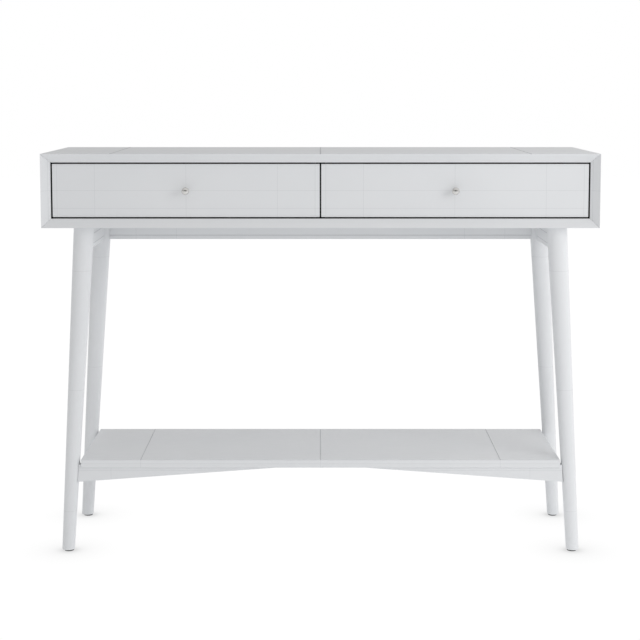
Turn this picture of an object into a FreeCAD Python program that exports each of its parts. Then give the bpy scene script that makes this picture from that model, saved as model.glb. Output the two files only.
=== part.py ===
"""Console table with two drawers in a bevelled case, round splayed legs and a low shelf.

Origin: on the floor, under the middle of the whole table. The drawers open towards -Y, +X is to
the right of somebody facing them and +Z is up. Every size is a named cell of the sheet "Sizes",
every place is a named formula of those cells, and each piece is bound to them by expressions.
"""
import FreeCAD, Part
import os
import re

from FreeCAD import Placement, Rotation, Vector

SIZES = {
    # Case
    "case_width": 1219.0,
    "case_depth": 381.0,
    "overall_height": 895.0,
    "case_height": 162.0,
    "panel_thickness": 20.0,
    "bevel_depth": 18.0,
    "divider_thickness": 19.0,
    "divider_housing": 6.0,
    "back_thickness": 6.0,
    "back_lap": 10.0,
    "back_clearance": 0.5,
    "spline_thickness": 3.0,
    "spline_width": 14.0,
    "spline_end_inset": 30.0,
    "seam_width": 0.8,
    "seam_depth": 0.8,
    "top_board_length": 458.0,
    "shelf_board_length": 402.0,
    # Legs and rails
    "leg_inset": 87.0,
    "leg_setback": 46.0,
    "leg_splay": 3.45,
    "leg_top_diameter": 45.0,
    "leg_foot_diameter": 28.0,
    "leg_foot_chamfer": 1.4,
    "leg_blank_overrun": 20.0,
    "glide_height": 3.0,
    "glide_chamfer": 1.0,
    "glide_diameter": 22.0,
    "glide_pin_diameter": 5.0,
    "glide_pin_length": 18.0,
    "rail_depth": 56.0,
    "rail_thickness": 16.0,
    "bead_height": 9.0,
    "bead_line": 0.8,
    "bead_spacing": 22.0,
    # Shelf
    "shelf_height": 210.0,
    "shelf_thickness": 18.0,
    "shelf_overhang": 12.5,
    "shelf_leg_gap": 2.0,
    "shelf_rail_depth": 33.0,
    "shelf_rail_thickness": 18.0,
    "shelf_rail_housing": 6.0,
    "arch_flat_length": 176.0,
    "block_length": 50.0,
    "block_width": 18.0,
    "block_height": 14.0,
    "block_screw_inset": 12.5,
    "outer_block_inset": 75.0,
    "inner_block_inset": 170.0,
    # Dowels, bolts and screws
    "dowel_diameter": 8.0,
    "dowel_length": 40.0,
    "dowel_start": 8.0,
    "insert_diameter": 12.0,
    "insert_length": 25.0,
    "leg_bolt_diameter": 8.0,
    "leg_bolt_head_diameter": 17.0,
    "leg_bolt_socket": 5.0,
    "leg_bolt_socket_depth": 3.0,
    "screw_diameter": 4.0,
    "screw_head_diameter": 8.0,
    "screw_tip_diameter": 1.0,
    "screw_slot_width": 1.2,
    "screw_slot_length": 5.0,
    "screw_slot_depth": 1.2,
    "rail_screw_length": 45.0,
    "rail_screw_inset": 55.0,
    "back_rail_screw_inset": 134.0,
    "back_screw_length": 18.0,
    "back_screw_inset": 169.5,
    "shelf_screw_length": 26.0,
    "box_screw_length": 24.0,
    "pan_head_height": 1.5,
    "slide_screw_diameter": 3.5,
    "slide_screw_head_diameter": 6.5,
    "slide_screw_length": 9.0,
    "slide_screw_inset": 35.0,
    # Drawers
    "face_gap": 2.8,
    "centre_gap": 3.4,
    "face_thickness": 19.0,
    "face_lip": 1.0,
    "wall_thickness": 12.0,
    "drawer_top_clearance": 15.0,
    "drawer_back_clearance": 28.0,
    "drawer_rise": 15.0,
    "bottom_thickness": 6.0,
    "bottom_groove": 5.0,
    "bottom_rise": 9.0,
    "box_dowel_diameter": 6.0,
    "box_dowel_length": 28.0,
    "box_dowel_depth": 8.0,
    "face_screw_inset": 90.0,
    "knob_length": 25.0,
    "knob_head_diameter": 17.0,
    "knob_head_length": 13.0,
    "knob_neck_diameter": 7.0,
    "knob_base_diameter": 12.0,
    "knob_base_height": 2.5,
    "knob_screw_diameter": 4.0,
    "knob_screw_bite": 9.0,
    # Drawer slides: a member on the case, a middle member and a member on the drawer
    "slide_width": 12.7,
    "slide_end_clearance": 9.0,
    "slide_sheet": 1.2,
    "case_member_height": 45.0,
    "case_member_width": 9.0,
    "middle_member_height": 36.0,
    "middle_member_start": 4.0,
    "middle_member_width": 6.0,
    "drawer_member_height": 26.0,
    "drawer_member_width": 6.0,
    "cage_length": 120.0,
    "cage_width": 2.8,
    "cage_clearance": 0.4,
}

PLACES = {
    # The case, front to back and floor to top
    "knob_overhang": "knob_length - bevel_depth",
    "case_front": "(knob_overhang - case_depth)/2",
    "case_back": "case_front + case_depth",
    "case_floor": "overall_height - case_height",
    "opening_floor": "case_floor + panel_thickness",
    "opening_top": "overall_height - panel_thickness",
    "opening_height": "case_height - 2*panel_thickness",
    "opening_width": "case_width - 2*panel_thickness",
    "face_front": "case_front + bevel_depth",
    "face_back": "face_front + face_thickness",
    "back_front": "case_back - back_thickness",
    "divider_front": "face_back + face_lip",
    "back_screw_x": "opening_width/2 - back_screw_inset",
    # Legs
    "splay": "tan(leg_splay * 1 deg)",
    "leg_top_x": "case_width/2 - leg_inset",
    "foot_x": "leg_top_x + case_floor*splay",
    "front_leg_y": "case_front + leg_setback",
    "back_leg_y": "case_back - leg_setback",
    "leg_axis_length": "case_floor/cos(leg_splay * 1 deg)",
    "leg_taper": "(leg_top_diameter - leg_foot_diameter)/2/leg_axis_length",
    "glide_x": "foot_x - glide_height*splay",
    # Rails under the case
    "rail_bottom": "case_floor - rail_depth",
    "rail_x": "leg_top_x + splay*rail_depth/2",
    "back_rail_screw_x": "rail_x - back_rail_screw_inset",
    # Shelf
    "shelf_depth": "back_leg_y - front_leg_y + 2*shelf_overhang",
    "shelf_floor": "shelf_height - shelf_thickness",
    "shelf_rail_bottom": "shelf_floor - shelf_rail_depth",
    "shelf_rail_x": "leg_top_x + splay*(case_floor - shelf_rail_bottom - shelf_rail_depth/2)",
    "shelf_leg_x": "leg_top_x + splay*(case_floor - shelf_height)",
    "shelf_leg_radius": "leg_foot_diameter/2 + leg_taper*shelf_height",
    "shelf_half_length": "shelf_leg_x - shelf_leg_radius - shelf_leg_gap",
    "arch_start": "shelf_rail_x - leg_foot_diameter/2",
    "table_middle_y": "(case_front + case_back)/2",
    # Drawers: |x| of a drawer's bay, box, face and walls
    "bay_width": "(opening_width - divider_thickness)/2",
    "bay_middle": "(divider_thickness + bay_width)/2",
    "face_width": "(opening_width - centre_gap)/2 - face_gap",
    "face_height": "opening_height - 2*face_gap",
    "face_middle": "(centre_gap + face_width)/2",
    "face_middle_z": "(opening_floor + opening_top)/2",
    "box_width": "bay_width - 2*slide_width",
    "drawer_floor": "opening_floor + drawer_rise",
    "drawer_height": "opening_height - drawer_rise - drawer_top_clearance",
    "drawer_depth": "back_front - face_back - drawer_back_clearance",
    "drawer_bottom_z": "drawer_floor + bottom_rise",
    "inner_width": "box_width - 2*wall_thickness",
    "slide_z": "drawer_floor + drawer_height/2",
    "slide_front": "face_back + face_lip",
    "slide_length": "drawer_depth - face_lip - slide_end_clearance",
    "drawer_web": "slide_width - slide_sheet",
}

SIDES = {"left": -1, "right": 1}
LEG_ROWS = {"front": "front_leg_y", "back": "back_leg_y"}
HALVES = (-1, 1)
TO_RIGHT = Rotation(Vector(0, 1, 0), 90)
TO_LEFT = Rotation(Vector(0, 1, 0), -90)
TO_BACK = Rotation(Vector(1, 0, 0), -90)
TO_FRONT = Rotation(Vector(1, 0, 0), 90)
UPSIDE_DOWN = Rotation(Vector(1, 0, 0), 180)
ABOUT_FACE = Rotation(Vector(0, 0, 1), 180)
UNTURNED = Rotation()
MITRE_ANGLE = 45
# How high the dowels and screws of a board sit, as shares of its height
RAIL_DOWEL_SHARES = ("1/4", "3/4")
SHELF_DOWEL_SHARES = ("1/3", "9/10")
DRAWER_FIXING_SHARES = ("1/3", "4/5")
# Turns of the case's panels, each given as the ways that the wedge's X, Y and Z axes point
TOP_TURN = Rotation(Vector(1, 0, 0), Vector(0, 0, -1), Vector(0, 1, 0), "XYZ")
BOTTOM_TURN = Rotation(Vector(-1, 0, 0), Vector(0, 0, 1), Vector(0, 1, 0), "XYZ")
LEFT_TURN = Rotation(Vector(0, 0, 1), Vector(1, 0, 0), Vector(0, 1, 0), "XYZ")
RIGHT_TURN = Rotation(Vector(0, 0, -1), Vector(-1, 0, 0), Vector(0, 1, 0), "XYZ")

doc = FreeCAD.newDocument("ConsoleTable")
nodes = []


def fill_sheet():
    """Write every driving size to the sheet as a plain number under its own alias."""
    sheet = doc.addObject("Spreadsheet::Sheet", "Sizes")
    for row, (name, size) in enumerate(SIZES.items(), start=1):
        sheet.set(f"A{row}", name)
        sheet.set(f"B{row}", str(size))
        sheet.setAlias(f"B{row}", name)
    doc.recompute()


def formula(text):
    """Turn a formula in the names of sizes and places into a document expression."""
    def swap(match):
        word = match.group()
        if word in SIZES:
            return f"Sizes.{word}"
        if word in PLACES:
            return f"({formula(PLACES[word])})"
        return word
    return re.sub(r"[a-z_]+", swap, text)


def place(piece, at, turn=UNTURNED):
    """Turn a piece and bind its position to three formulas."""
    piece.Placement = Placement(Vector(), turn)
    for axis, text in zip("xyz", at):
        piece.setExpression(f"Placement.Base.{axis}", formula(text))
    return piece


def primitive(kind, name, at, turn=UNTURNED, **sizes):
    """Add a Part primitive with its sizes and its position bound to formulas."""
    piece = doc.addObject(kind, name)
    for size, text in sizes.items():
        piece.setExpression(size, formula(text))
    return place(piece, at, turn)


def block(name, at, size):
    """Add a box with its low corner at a place."""
    length, width, height = size
    return primitive("Part::Box", name, at, Length=length, Width=width, Height=height)


def rod(name, radius, height, at=("0", "0", "0"), turn=UNTURNED):
    """Add a cylinder that stands on a place."""
    return primitive("Part::Cylinder", name, at, turn, Radius=radius, Height=height)


def cone(name, low_radius, high_radius, height, at=("0", "0", "0"), turn=UNTURNED):
    """Add a cone that stands on a place."""
    return primitive("Part::Cone", name, at, turn,
                     Radius1=low_radius, Radius2=high_radius, Height=height)


def cut(base, *tools):
    """Take each tool in turn away from a base."""
    for tool in tools:
        trimmed = doc.addObject("Part::Cut", f"{base.Name}_cut")
        trimmed.Base = base
        trimmed.Tool = tool
        base = trimmed
    return base


def fuse(name, *pieces):
    """Join pieces into one solid."""
    joined = doc.addObject("Part::MultiFuse", name)
    joined.Shapes = list(pieces)
    return joined


def common(name, base, tool):
    """Keep what a base and a tool share."""
    shared = doc.addObject("Part::Common", name)
    shared.Base = base
    shared.Tool = tool
    return shared


def group(name, pieces):
    """Hold separate solids together under one name."""
    together = doc.addObject("Part::Compound", name)
    together.Links = list(pieces)
    return together


def copies(name, master, spots):
    """Repeat a master at each (place, turn) spot, as a group of separate solids."""
    links = []
    for at, turn in spots:
        link = doc.addObject("App::Link", f"{name}_item")
        link.LinkedObject = master
        links.append(place(link, at, turn))
    return group(name, links)


def node(label, piece):
    """Name a finished sub-part."""
    piece.Label = label
    nodes.append(piece)
    return piece


# Fasteners. Each master stands at the origin with the underside of its thread pointing to -Z and
# its head's upper face at z = 0 (countersunk) or its bearing face at z = 0 (pan head).

def countersunk_screw(name, length):
    """Return the solid and the slots of a countersunk wood screw."""
    head_drop = "(screw_head_diameter - screw_diameter)/2"
    head = cone(f"{name}_head", "screw_diameter/2", "screw_head_diameter/2", head_drop,
                at=("0", "0", f"-{head_drop}"))
    shank = rod(f"{name}_shank", "screw_diameter/2", f"{length} - {head_drop} - screw_diameter",
                at=("0", "0", f"-({length}) + screw_diameter"))
    tip = cone(f"{name}_tip", "screw_tip_diameter/2", "screw_diameter/2", "screw_diameter",
               at=("0", "0", f"-({length})"))
    return fuse(name, head, shank, tip), cross_slots(f"{name}_slots")


def cross_slots(name):
    """Return the crossed slots that a driver turns, cut down from z = 0."""
    first = block(f"{name}_x", ("-screw_slot_length/2", "-screw_slot_width/2", "-screw_slot_depth"),
                  ("screw_slot_length", "screw_slot_width", "screw_slot_depth"))
    second = block(f"{name}_y", ("-screw_slot_width/2", "-screw_slot_length/2", "-screw_slot_depth"),
                   ("screw_slot_width", "screw_slot_length", "screw_slot_depth"))
    return fuse(name, first, second)


def pan_screw(name, shank_diameter, head_diameter, length):
    """Return the solid of a pan-head screw that bears on z = 0."""
    head = cone(f"{name}_head", f"{head_diameter}/2", f"{head_diameter}/2 - pan_head_height/2",
                "pan_head_height")
    shank = rod(f"{name}_shank", f"{shank_diameter}/2", length, at=("0", "0", f"-({length})"))
    return fuse(name, head, shank)


def leg_bolt():
    """Return the solid and the hexagon socket of a countersunk leg bolt."""
    head_drop = "(leg_bolt_head_diameter - leg_bolt_diameter)/2"
    length = "panel_thickness + insert_length"
    head = cone("leg_bolt_head", "leg_bolt_diameter/2", "leg_bolt_head_diameter/2", head_drop,
                at=("0", "0", f"-{head_drop}"))
    shank = rod("leg_bolt_shank", "leg_bolt_diameter/2", f"{length} - {head_drop}",
                at=("0", "0", f"-({length})"))
    socket = primitive("Part::Prism", "leg_bolt_socket", ("0", "0", "-leg_bolt_socket_depth"),
                       Circumradius="leg_bolt_socket/2/cos(30 deg)", Height="leg_bolt_socket_depth")
    socket.Polygon = 6
    return fuse("leg_bolt", head, shank), socket


def fastened(label, solid, recess, spots):
    """Make a group of recessed fasteners and return their unrecessed solids as a cutting tool."""
    tool = copies(f"{label}_solid", solid, spots)
    node(label, cut(tool, copies(f"{label}_recess", recess, spots)))
    return tool


# Base: legs, glides and the rails that join them.

def leg_blank(side, row):
    """Return a leg before it is drilled: a splayed taper between two level ends."""
    sign = SIDES[side]
    name = f"{row}_{side}_leg"
    taper = cone(f"{name}_taper", "leg_foot_diameter/2 - leg_taper*leg_blank_overrun",
                 "leg_top_diameter/2 + leg_taper*leg_blank_overrun",
                 "leg_axis_length + 2*leg_blank_overrun",
                 at=(f"{sign}*(foot_x + leg_blank_overrun*sin(leg_splay * 1 deg))", LEG_ROWS[row],
                     "-leg_blank_overrun*cos(leg_splay * 1 deg)"),
                 turn=Rotation(Vector(0, -sign, 0), SIZES["leg_splay"]))
    taper.setExpression("Placement.Rotation.Angle", formula("leg_splay"))
    foot_radius = "leg_foot_diameter/2 - leg_foot_chamfer"
    ends = cone(f"{name}_ends", foot_radius, f"{foot_radius} + case_floor - glide_height",
                "case_floor - glide_height", at=(f"{sign}*glide_x", LEG_ROWS[row], "glide_height"))
    return common(f"{name}_blank", taper, ends)


def build_legs():
    """Return the undrilled legs by (side, row)."""
    return {(side, row): leg_blank(side, row) for side in SIDES for row in LEG_ROWS}


def build_glides():
    """Make the foot glides, a disc with a pin that is pressed up into each leg."""
    disc = cone("glide_disc", "glide_diameter/2 - glide_chamfer", "glide_diameter/2", "glide_height")
    pin = rod("glide_pin", "glide_pin_diameter/2", "glide_pin_length", at=("0", "0", "glide_height"))
    spots = [((f"{sign}*glide_x", y, "0"), UNTURNED) for sign in SIDES.values()
             for y in LEG_ROWS.values()]
    return node("foot_glides", copies("glides", fuse("glide", disc, pin), spots))


def build_rail_dowels():
    """Make every dowel between a rail and a leg, in one group."""
    dowel = rod("dowel", "dowel_diameter/2", "dowel_length")
    spots = []
    for sign in SIDES.values():
        for share in RAIL_DOWEL_SHARES:
            level = f"rail_bottom + rail_depth*{share}"
            spots.append(((f"{sign}*rail_x", "front_leg_y + dowel_start", level), TO_BACK))
            spots.append(((f"{sign}*rail_x", "back_leg_y - dowel_start", level), TO_FRONT))
            inward = TO_LEFT if sign > 0 else TO_RIGHT
            spots.append(((f"{sign}*(rail_x - dowel_start)", "back_leg_y", level), inward))
        for share in SHELF_DOWEL_SHARES:
            level = f"shelf_rail_bottom + shelf_rail_depth*{share}"
            for y in LEG_ROWS.values():
                spots.append(((f"{sign}*(shelf_rail_x - dowel_start)", y, level), inward))
    return node("rail_dowels", copies("dowels", dowel, spots))


def build_leg_fixings():
    """Make the bolts and threaded inserts that hold the legs up to the case."""
    bolt, socket = leg_bolt()
    tops = [(f"{sign}*leg_top_x", y) for sign in SIDES.values() for y in LEG_ROWS.values()]
    bolts = fastened("leg_bolts", bolt, socket, [((x, y, "opening_floor"), UNTURNED) for x, y in tops])
    shell = rod("insert_shell", "insert_diameter/2", "insert_length")
    bore = rod("insert_bore", "leg_bolt_diameter/2", "insert_length")
    spots = [((x, y, "case_floor - insert_length"), UNTURNED) for x, y in tops]
    bores = copies("insert_bores", bore, spots)
    shells = copies("insert_shells", shell, spots)
    node("leg_inserts", cut(shells, bores))
    return bolts, shells


def build_side_rail(side, legs, dowels, screws):
    """Make a rail between the front and back leg of one side."""
    sign = SIDES[side]
    name = f"{side}_side_rail"
    low_x = f"{sign}*rail_x - rail_thickness/2"
    board = block(f"{name}_board", (low_x, "front_leg_y", "rail_bottom"),
                  ("rail_thickness", "back_leg_y - front_leg_y", "rail_depth"))
    line_x = f"{sign}*(rail_x - rail_thickness/2) - bead_line/2"
    lines = [block(f"{name}_line", (line_x, "front_leg_y", f"rail_bottom + {rise}"),
                   ("bead_line", "back_leg_y - front_leg_y", "bead_line"))
             for rise in ("bead_height", "bead_height + bead_spacing")]
    node(name, cut(board, legs[side, "front"], legs[side, "back"], dowels, screws, *lines))


def build_back_rail(legs, dowels, screws):
    """Make the rail between the two back legs."""
    board = block("back_rail_board", ("-rail_x", "back_leg_y - rail_thickness/2", "rail_bottom"),
                  ("2*rail_x", "rail_thickness", "rail_depth"))
    line = block("back_rail_line", ("-rail_x", "back_leg_y - rail_thickness/2 - bead_line/2",
                                    "rail_bottom + bead_height"),
                 ("2*rail_x", "bead_line", "bead_line"))
    node("back_rail", cut(board, legs["left", "back"], legs["right", "back"], dowels, screws, line))


def build_rail_screws():
    """Make the screws that go down through the case's bottom into the rails."""
    screw, slots = countersunk_screw("rail_screw", "rail_screw_length")
    spots = []
    for sign in SIDES.values():
        spots.append((f"{sign}*rail_x", "front_leg_y + rail_screw_inset"))
        spots.append((f"{sign}*rail_x", "back_leg_y - rail_screw_inset"))
        spots.append((f"{sign}*back_rail_screw_x", "back_leg_y"))
        spots.append((f"{sign}*back_rail_screw_x/3", "back_leg_y"))
    return fastened("rail_screws", screw, slots,
                    [((x, y, "opening_floor"), UNTURNED) for x, y in spots])


# Shelf

def shelf_rail_blank(row, legs):
    """Return a shelf rail before drilling: a board with a straight-sided arch cut from below."""
    name = f"shelf_{row}_rail"
    low_y = f"{LEG_ROWS[row]} - shelf_rail_thickness/2"
    board = block(f"{name}_board", ("-shelf_rail_x", low_y, "shelf_rail_bottom"),
                  ("2*shelf_rail_x", "shelf_rail_thickness", "shelf_rail_depth + shelf_rail_housing"))
    arch = primitive("Part::Wedge", f"{name}_arch", ("0", f"{low_y} + shelf_rail_thickness",
                                                    "shelf_rail_bottom"), TO_FRONT,
                     Xmin="-arch_start", Xmax="arch_start", Ymin="0", Ymax="shelf_rail_depth",
                     Zmin="0", Zmax="shelf_rail_thickness", X2min="-arch_flat_length/2",
                     X2max="arch_flat_length/2", Z2min="0", Z2max="shelf_rail_thickness")
    return cut(board, arch, legs["left", row], legs["right", row])


def block_corners():
    """Return the low corner of each block under the shelf, with the way its rail lies."""
    corners = []
    for sign in SIDES.values():
        for inset in ("outer_block_inset", "inner_block_inset"):
            low_x = f"{sign}*(shelf_rail_x - {inset}) - block_length/2"
            corners.append((low_x, "front_leg_y + shelf_rail_thickness/2", -1))
            corners.append((low_x, "back_leg_y - shelf_rail_thickness/2 - block_width", 1))
    return corners


def build_shelf(legs, dowels):
    """Make the shelf, its two rails, and the blocks and screws that hold them together."""
    screw, slots = countersunk_screw("shelf_screw", "shelf_screw_length")
    spots = []
    for low_x, low_y, _ in block_corners():
        spots.append(((f"{low_x} + block_screw_inset", f"{low_y} + block_width/2",
                       "shelf_floor - block_height"), UPSIDE_DOWN))
    for low_x, low_y, way in block_corners():
        away = "block_width" if way < 0 else "0"
        spots.append(((f"{low_x} + block_length - block_screw_inset", f"{low_y} + {away}",
                       "shelf_floor - block_height/2"), TO_BACK if way < 0 else TO_FRONT))
    screws = fastened("shelf_screws", screw, slots, spots)
    blank = block("shelf_block", ("0", "0", "0"), ("block_length", "block_width", "block_height"))
    blocks = copies("shelf_block_blanks", blank,
                    [((x, y, "shelf_floor - block_height"), UNTURNED) for x, y, _ in block_corners()])
    node("shelf_blocks", cut(blocks, screws))
    rails = {row: shelf_rail_blank(row, legs) for row in LEG_ROWS}
    board = block("shelf_board", ("-shelf_half_length", "table_middle_y - shelf_depth/2",
                                  "shelf_floor"),
                  ("2*shelf_half_length", "shelf_depth", "shelf_thickness"))
    seams = [seam(f"shelf_seam", x, "table_middle_y - shelf_depth/2", "shelf_depth", "shelf_height")
             for x in ("-shelf_board_length", "0", "shelf_board_length")]
    node("shelf", cut(board, rails["front"], rails["back"], screws, *seams))
    for row, rail in rails.items():
        node(f"shelf_{row}_rail", cut(rail, dowels, screws))


def seam(name, x, low_y, length, top):
    """Return the fine groove between two boards in an upper face."""
    return block(name, (f"{x} - seam_width/2", low_y, f"{top} - seam_depth"),
                 ("seam_width", length, "seam_depth"))


# Case

def mitred_panel(name, outer_length, at, turn):
    """Return a panel whose ends are mitred and whose front edge is bevelled inwards.

    The wedge's X is the panel's length, its Y the thickness from the outer face inwards, and its
    Z the depth from the front edge to the back edge.
    """
    return primitive("Part::Wedge", name, at, turn,
                     Xmin="0", Xmax=outer_length, Ymin="0", Ymax="panel_thickness",
                     Zmin="0", Zmax="case_depth",
                     X2min="panel_thickness", X2max=f"{outer_length} - panel_thickness",
                     Z2min="bevel_depth", Z2max="case_depth")


def build_splines():
    """Make the four hidden strips that key the mitred corners."""
    strip = block("spline_strip", ("-spline_width/2", "0", "-spline_thickness/2"),
                  ("spline_width", "case_depth - 2*spline_end_inset", "spline_thickness"))
    spots = []
    for sign in SIDES.values():
        for level, lean in (("case_floor + panel_thickness/2", -1),
                            ("overall_height - panel_thickness/2", 1)):
            at = (f"{sign}*(case_width - panel_thickness)/2", "case_front + spline_end_inset", level)
            spots.append((at, Rotation(Vector(0, 1, 0), MITRE_ANGLE * sign * lean)))
    return node("mitre_splines", copies("splines", group("spline", [strip]), spots))


def build_back():
    """Make the back panel with its screws and return the rabbet and the screws as tools."""
    screw, slots = countersunk_screw("back_screw", "back_screw_length")
    spots = []
    for sign in SIDES.values():
        spots.append((f"{sign}*(opening_width + back_lap)/2", "face_middle_z"))
        for level in ("opening_floor - back_lap/2", "opening_top + back_lap/2"):
            spots.append((f"{sign}*back_screw_x", level))
            spots.append((f"{sign}*back_screw_x/3", level))
    screws = fastened("back_screws", screw, slots,
                      [((x, "case_back", z), TO_BACK) for x, z in spots])
    rabbet = block("back_rabbet", ("-opening_width/2 - back_lap", "back_front",
                                   "opening_floor - back_lap"),
                   ("opening_width + 2*back_lap", "back_thickness", "opening_height + 2*back_lap"))
    margin = "(back_lap - back_clearance)"
    panel = block("back_panel", (f"-opening_width/2 - {margin}", "back_front",
                                 f"opening_floor - {margin}"),
                  (f"opening_width + 2*{margin}", "back_thickness",
                   f"opening_height + 2*{margin}"))
    node("case_back", cut(panel, screws))
    return rabbet, screws


def build_case(leg_bolts, rail_screws, slide_screws):
    """Make the mitred case with its divider, back, seams and splines."""
    splines = build_splines()
    rabbet, back_screws = build_back()
    shared = (rabbet, splines, back_screws)
    divider = block("divider_board", ("-divider_thickness/2", "divider_front",
                                      "opening_floor - divider_housing"),
                    ("divider_thickness", "back_front - divider_front",
                     "opening_height + 2*divider_housing"))
    node("case_divider", cut(divider, slide_screws))
    top = mitred_panel("top_board", "case_width", ("-case_width/2", "case_front", "overall_height"),
                       TOP_TURN)
    seams = [seam("top_seam", x, "case_front", "case_depth", "overall_height")
             for x in ("-top_board_length", "0", "top_board_length")]
    node("case_top", cut(top, *shared, divider, *seams))
    floor = mitred_panel("floor_board", "case_width", ("case_width/2", "case_front", "case_floor"),
                         BOTTOM_TURN)
    node("case_bottom", cut(floor, *shared, divider, leg_bolts, rail_screws))
    left = mitred_panel("left_board", "case_height", ("-case_width/2", "case_front", "case_floor"),
                        LEFT_TURN)
    node("case_left_side", cut(left, *shared, slide_screws))
    right = mitred_panel("right_board", "case_height", ("case_width/2", "case_front",
                                                        "overall_height"), RIGHT_TURN)
    node("case_right_side", cut(right, *shared, slide_screws))


# Drawer slides. A slide is drawn in its own frame, with X from the wall that it is screwed to
# towards the drawer, Y from front to back and Z up from the slide's middle line.

def channel(name, start, width, height, web_first):
    """Return a channel-shaped member, open on the side away from its web."""
    outer = block(f"{name}_outer", (start, "0", f"-({height})/2"), (width, "slide_length", height))
    hollow_x = f"{start} + slide_sheet" if web_first else start
    hollow = block(f"{name}_hollow", (hollow_x, "0", f"-({height})/2 + slide_sheet"),
                   (f"{width} - slide_sheet", "slide_length", f"{height} - 2*slide_sheet"))
    return cut(outer, hollow)


def ball_cages():
    """Return the four ball cages of one slide, in the gaps above and below its middle member."""
    front = "(slide_length - cage_length)/2"
    outer_low = "middle_member_height/2"
    outer_rise = "case_member_height/2 - slide_sheet - cage_clearance - middle_member_height/2"
    inner_low = "drawer_member_height/2 + cage_clearance"
    inner_rise = ("middle_member_height/2 - slide_sheet - cage_clearance"
                  " - drawer_member_height/2")
    outer_x = "middle_member_start + slide_sheet + cage_clearance"
    inner_x = "slide_width - drawer_member_width + cage_clearance"
    cages = []
    for start, low, rise in ((outer_x, outer_low, outer_rise), (inner_x, inner_low, inner_rise)):
        for level in (low, f"-({low}) - ({rise})"):
            cages.append(block("ball_cage", (start, front, level),
                               ("cage_width", "cage_length", rise)))
    return group("ball_cages", cages)


def slide_walls(side):
    """Return |x| of the two walls of a drawer's bay, with the way from each to the drawer."""
    sign = SIDES[side]
    return ((f"{sign}*divider_thickness/2", sign), (f"{sign}*opening_width/2", -sign))


def slide_spots(side):
    """Return the spots of the two slides of one drawer."""
    spots = []
    for wall, way in slide_walls(side):
        if way > 0:
            spots.append(((wall, "slide_front", "slide_z"), UNTURNED))
        else:
            spots.append(((wall, "slide_front + slide_length", "slide_z"), ABOUT_FACE))
    return spots


def slide_screw_spots(side, web, into_wall):
    """Return the spots of the screws through one member of both slides of a drawer."""
    spots = []
    for wall, way in slide_walls(side):
        turn = TO_RIGHT if (way > 0) == into_wall else TO_LEFT
        for y in ("slide_front + slide_screw_inset",
                  "slide_front + slide_length - slide_screw_inset"):
            spots.append(((f"{wall} + {way}*({web})", y, "slide_z"), turn))
    return spots


def build_slides():
    """Make every slide member and its screws and return the screws by the body they join."""
    screw = pan_screw("slide_screw", "slide_screw_diameter", "slide_screw_head_diameter",
                      "slide_screw_length")
    case_member = channel("case_member", "0", "case_member_width", "case_member_height", True)
    middle_member = channel("middle_member", "middle_member_start", "middle_member_width",
                            "middle_member_height", True)
    drawer_member = channel("drawer_member", "slide_width - drawer_member_width",
                            "drawer_member_width", "drawer_member_height", False)
    cages = ball_cages()
    case_spots = [spot for side in SIDES for spot in slide_screw_spots(side, "slide_sheet", True)]
    case_screws = node("case_slide_screws", copies("case_slide_screws", screw, case_spots))
    screws = {"case": case_screws}
    for side in SIDES:
        spots = slide_spots(side)
        name = f"{side}_drawer_slide_screws"
        screws[side] = node(name, copies(name, screw, slide_screw_spots(side, "drawer_web", False)))
        node(f"{side}_case_slides", cut(copies(f"{side}_case_member", case_member, spots),
                                        case_screws))
        node(f"{side}_middle_slides", copies(f"{side}_middle_member", middle_member, spots))
        node(f"{side}_drawer_slides", cut(copies(f"{side}_drawer_member", drawer_member, spots),
                                          screws[side]))
        node(f"{side}_ball_cages", copies(f"{side}_cages", cages, spots))
    return screws


# Drawers

def build_knob(side, screw):
    """Make the turned knob of one drawer."""
    name = f"{side}_knob"
    base = rod(f"{name}_base", "knob_base_diameter/2", "knob_base_height")
    neck = rod(f"{name}_neck", "knob_neck_diameter/2", "knob_length - knob_head_length/2")
    head = primitive("Part::Ellipsoid", f"{name}_head",
                     ("0", "0", "knob_length - knob_head_length/2"),
                     Radius1="knob_head_length/2", Radius2="knob_head_diameter/2",
                     Radius3="knob_head_diameter/2")
    blank = place(fuse(f"{name}_blank", base, neck, head),
                  (f"{SIDES[side]}*face_middle", "face_front", "face_middle_z"), TO_FRONT)
    node(name, cut(blank, screw))


def box_dowel_spots(side):
    """Return the spots of the dowels that join a drawer's sides to its front and back."""
    sign = SIDES[side]
    spots = []
    for half in HALVES:
        start = f"{sign}*bay_middle + {half}*(inner_width/2 + box_dowel_depth)"
        turn = TO_LEFT if half > 0 else TO_RIGHT
        for y in ("face_back + wall_thickness/2", "face_back + drawer_depth - wall_thickness/2"):
            for share in DRAWER_FIXING_SHARES:
                spots.append(((start, y, f"drawer_floor + drawer_height*{share}"), turn))
    return spots


def face_screw_spots(side):
    """Return the spots of the screws from inside a drawer into its face."""
    spots = []
    for half in HALVES:
        x = f"{SIDES[side]}*bay_middle + {half}*(inner_width/2 - face_screw_inset)"
        for share in DRAWER_FIXING_SHARES:
            spots.append(((x, "face_back + wall_thickness", f"drawer_floor + drawer_height*{share}"),
                          TO_BACK))
    return spots


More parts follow.
